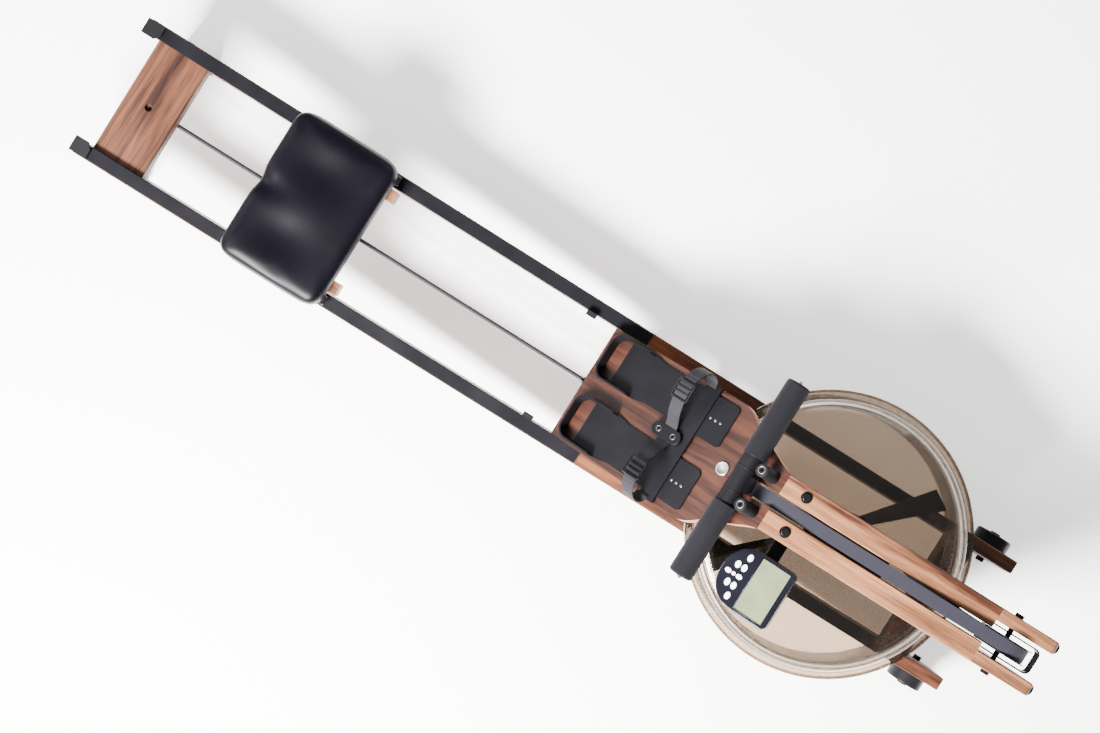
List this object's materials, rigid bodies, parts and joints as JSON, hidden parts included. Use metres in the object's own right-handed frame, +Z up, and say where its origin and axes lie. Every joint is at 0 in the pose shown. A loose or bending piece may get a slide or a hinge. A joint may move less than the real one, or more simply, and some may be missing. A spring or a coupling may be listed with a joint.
{
  "type": "rowing machine",
  "caption": "Wooden rowing machine with a round water tank, sliding seat on twin rails, sloping footboard with straps, handle on a pull strap and a small monitor.",
  "frame": {"origin": "on the floor under the middle of the machine's overall length and width", "axes": "+X level, along the machine from the seat end towards the tank; +Y to the left of a rower who faces the tank; +Z up"},
  "size_m": [2.113, 0.564, 0.5049],
  "materials": {
    "walnut_rail": "oiled walnut, long straight grain",
    "walnut_board": "oiled walnut, darker and redder, with a lighter edge",
    "walnut_arm": "oiled walnut, lighter tan with dark streaks",
    "carriage_wood": "oiled light walnut",
    "black_plastic": "satin black moulded plastic",
    "track_plastic": "smooth dark grey-black running strip",
    "monitor_black": "glossy blue-black case",
    "lcd": "grey-green blank display",
    "button_white": "glossy white keys",
    "seat_vinyl": "glossy black vinyl over foam",
    "grip_foam": "matt black foam",
    "black_rubber": "matt black rubber",
    "webbing": "blue-grey woven webbing",
    "cord_cover": "black braided cover",
    "tank_clear": "clear smoke-tinted polycarbonate",
    "black_steel": "black coated steel",
    "bright_steel": "bright machine steel",
    "roller_plastic": "hard dark polyurethane"
  },
  "bodies": {
    "frame": {"rail_left": "walnut_rail", "rail_right": "walnut_rail", "rear_spreader": "walnut_rail", "rear_legs": "walnut_rail", "footboard_frame": "walnut_rail", "front_crossbar": "walnut_rail", "footboard": "walnut_board", "arm_left": "walnut_arm", "arm_right": "walnut_arm", "front_leg_left": "walnut_arm", "front_leg_right": "walnut_arm", "track_left": "track_plastic", "track_right": "track_plastic", "foot_bar": "black_plastic", "strap_fittings": "black_plastic", "monitor_arm": "black_plastic", "track_stops": "black_rubber", "rubber_feet": "black_rubber", "tank_supports": "black_rubber", "handle_pegs": "black_rubber", "peg_screws": "black_steel", "frame_bolts": "black_steel", "pulley_bracket": "black_steel", "pulley_yokes": "bright_steel", "bearing_bridge": "black_steel", "tank_bowl": "tank_clear", "tank_cover": "tank_clear", "return_strap": "webbing", "foot_straps": "webbing", "recoil_cord": "cord_cover"},
    "seat": {"seat_pad": "seat_vinyl", "seat_carriage": "carriage_wood"},
    "wheelset_front": {"wheelset_front": "roller_plastic"},
    "wheelset_rear": {"wheelset_rear": "roller_plastic"},
    "handle": {"handle_bar": "bright_steel", "handle_grips": "grip_foam", "handle_clamp": "black_plastic", "pull_strap": "webbing"},
    "drum": {"strap_drum": "black_plastic", "strap_roll": "webbing"},
    "front_pulley": {"front_pulley": "black_plastic"},
    "rear_pulley": {"rear_pulley": "black_plastic"},
    "guide_pulley_low": {"guide_pulley_low": "black_plastic"},
    "guide_pulley_high": {"guide_pulley_high": "black_plastic"},
    "paddle": {"paddle": "black_plastic"},
    "monitor": {"monitor_case": "monitor_black", "monitor_screen": "lcd"},
    "heel_rest_left": {"heel_rest_left": "black_plastic"},
    "heel_rest_right": {"heel_rest_right": "black_plastic"},
    "transport_wheel_left": {"transport_wheel_left": "roller_plastic"},
    "transport_wheel_right": {"transport_wheel_right": "roller_plastic"},
    "button_1": {"button_1": "button_white"},
    "button_2": {"button_2": "button_white"},
    "button_3": {"button_3": "button_white"},
    "button_4": {"button_4": "button_white"},
    "button_5": {"button_5": "button_white"},
    "button_6": {"button_6": "button_white"},
    "button_7": {"button_7": "button_white"},
    "button_8": {"button_8": "button_white"},
    "button_9": {"button_9": "button_white"}
  },
  "joints": [
    {"name": "seat_slide", "type": "slide", "parent": "frame", "child": "seat", "axis": [0.9988, 0, -0.0489], "range_m": [-0.32, 0.44]},
    {"name": "wheelset_front_spin", "type": "hinge", "parent": "seat", "child": "wheelset_front", "pos_m": [-0.47825, 0, 0.22329], "axis": [0, 1, 0], "continuous": true},
    {"name": "wheelset_rear_spin", "type": "hinge", "parent": "seat", "child": "wheelset_rear", "pos_m": [-0.66802, 0, 0.23257], "axis": [0, 1, 0], "continuous": true},
    {"name": "handle_pull", "type": "slide", "parent": "frame", "child": "handle", "axis": [-0.9988, 0, 0.0489], "range_m": [0, 1.2], "stiffness_N_per_m": 15, "springref_m": -2, "deforming": ["pull_strap"]},
    {"name": "drum_spin", "type": "hinge", "parent": "frame", "child": "drum", "pos_m": [0.63053, 0, 0.38602], "axis": [0.0489, 0, 0.9988], "continuous": true},
    {"name": "front_pulley_spin", "type": "hinge", "parent": "frame", "child": "front_pulley", "pos_m": [0.96632, 0, 0.41465], "axis": [0, 1, 0], "continuous": true},
    {"name": "rear_pulley_spin", "type": "hinge", "parent": "frame", "child": "rear_pulley", "pos_m": [-0.96948, 0, 0.15891], "axis": [0, 1, 0], "continuous": true},
    {"name": "guide_pulley_low_spin", "type": "hinge", "parent": "frame", "child": "guide_pulley_low", "pos_m": [0.07701, 0, 0.14377], "axis": [0, 1, 0], "continuous": true},
    {"name": "guide_pulley_high_spin", "type": "hinge", "parent": "frame", "child": "guide_pulley_high", "pos_m": [0.43624, 0, 0.35447], "axis": [0, 1, 0], "continuous": true},
    {"name": "paddle_spin", "type": "hinge", "parent": "frame", "child": "paddle", "pos_m": [0.62295, 0, 0.2312], "axis": [0.0489, 0, 0.9988], "continuous": true},
    {"name": "monitor_tilt", "type": "hinge", "parent": "frame", "child": "monitor", "pos_m": [0.52833, -0.148, 0.44699], "axis": [0, 1, 0], "range_deg": [-30, 20]},
    {"name": "button_1_press", "type": "slide", "parent": "monitor", "child": "button_1", "axis": [0.3289, 0, -0.9444], "range_m": [0, 0.0012], "stiffness_N_per_m": 600, "springref_m": -0.0006},
    {"name": "button_2_press", "type": "slide", "parent": "monitor", "child": "button_2", "axis": [0.3289, 0, -0.9444], "range_m": [0, 0.0012], "stiffness_N_per_m": 600, "springref_m": -0.0006},
    {"name": "button_3_press", "type": "slide", "parent": "monitor", "child": "button_3", "axis": [0.3289, 0, -0.9444], "range_m": [0, 0.0012], "stiffness_N_per_m": 600, "springref_m": -0.0006},
    {"name": "button_4_press", "type": "slide", "parent": "monitor", "child": "button_4", "axis": [0.3289, 0, -0.9444], "range_m": [0, 0.0012], "stiffness_N_per_m": 600, "springref_m": -0.0006},
    {"name": "button_5_press", "type": "slide", "parent": "monitor", "child": "button_5", "axis": [0.3289, 0, -0.9444], "range_m": [0, 0.0012], "stiffness_N_per_m": 600, "springref_m": -0.0006},
    {"name": "button_6_press", "type": "slide", "parent": "monitor", "child": "button_6", "axis": [0.3289, 0, -0.9444], "range_m": [0, 0.0012], "stiffness_N_per_m": 600, "springref_m": -0.0006},
    {"name": "button_7_press", "type": "slide", "parent": "monitor", "child": "button_7", "axis": [0.3289, 0, -0.9444], "range_m": [0, 0.0012], "stiffness_N_per_m": 600, "springref_m": -0.0006},
    {"name": "button_8_press", "type": "slide", "parent": "monitor", "child": "button_8", "axis": [0.3289, 0, -0.9444], "range_m": [0, 0.0012], "stiffness_N_per_m": 600, "springref_m": -0.0006},
    {"name": "button_9_press", "type": "slide", "parent": "monitor", "child": "button_9", "axis": [0.3289, 0, -0.9444], "range_m": [0, 0.0012], "stiffness_N_per_m": 600, "springref_m": -0.0006},
    {"name": "heel_rest_left_slide", "type": "slide", "parent": "frame", "child": "heel_rest_left", "axis": [0.8211, 0, 0.5707], "range_m": [-0.03, 0.03]},
    {"name": "heel_rest_right_slide", "type": "slide", "parent": "frame", "child": "heel_rest_right", "axis": [0.8211, 0, 0.5707], "range_m": [-0.03, 0.03]},
    {"name": "transport_wheel_left_spin", "type": "hinge", "parent": "frame", "child": "transport_wheel_left", "pos_m": [0.97532, 0.17, 0.04577], "axis": [0, 1, 0], "continuous": true},
    {"name": "transport_wheel_right_spin", "type": "hinge", "parent": "frame", "child": "transport_wheel_right", "pos_m": [0.97532, -0.17, 0.04577], "axis": [0, 1, 0], "continuous": true}
  ],
  "couplings": [
    {"joint": "wheelset_front_spin", "follows": "seat_slide", "rad_per_m": 45.455},
    {"joint": "wheelset_rear_spin", "follows": "seat_slide", "rad_per_m": 45.455},
    {"joint": "drum_spin", "follows": "handle_pull", "rad_per_m": -21.739},
    {"joint": "front_pulley_spin", "follows": "handle_pull", "rad_per_m": -22.222},
    {"joint": "rear_pulley_spin", "follows": "handle_pull", "rad_per_m": 9.1304},
    {"joint": "guide_pulley_low_spin", "follows": "handle_pull", "rad_per_m": -20.924},
    {"joint": "guide_pulley_high_spin", "follows": "handle_pull", "rad_per_m": 24.728}
  ]
}
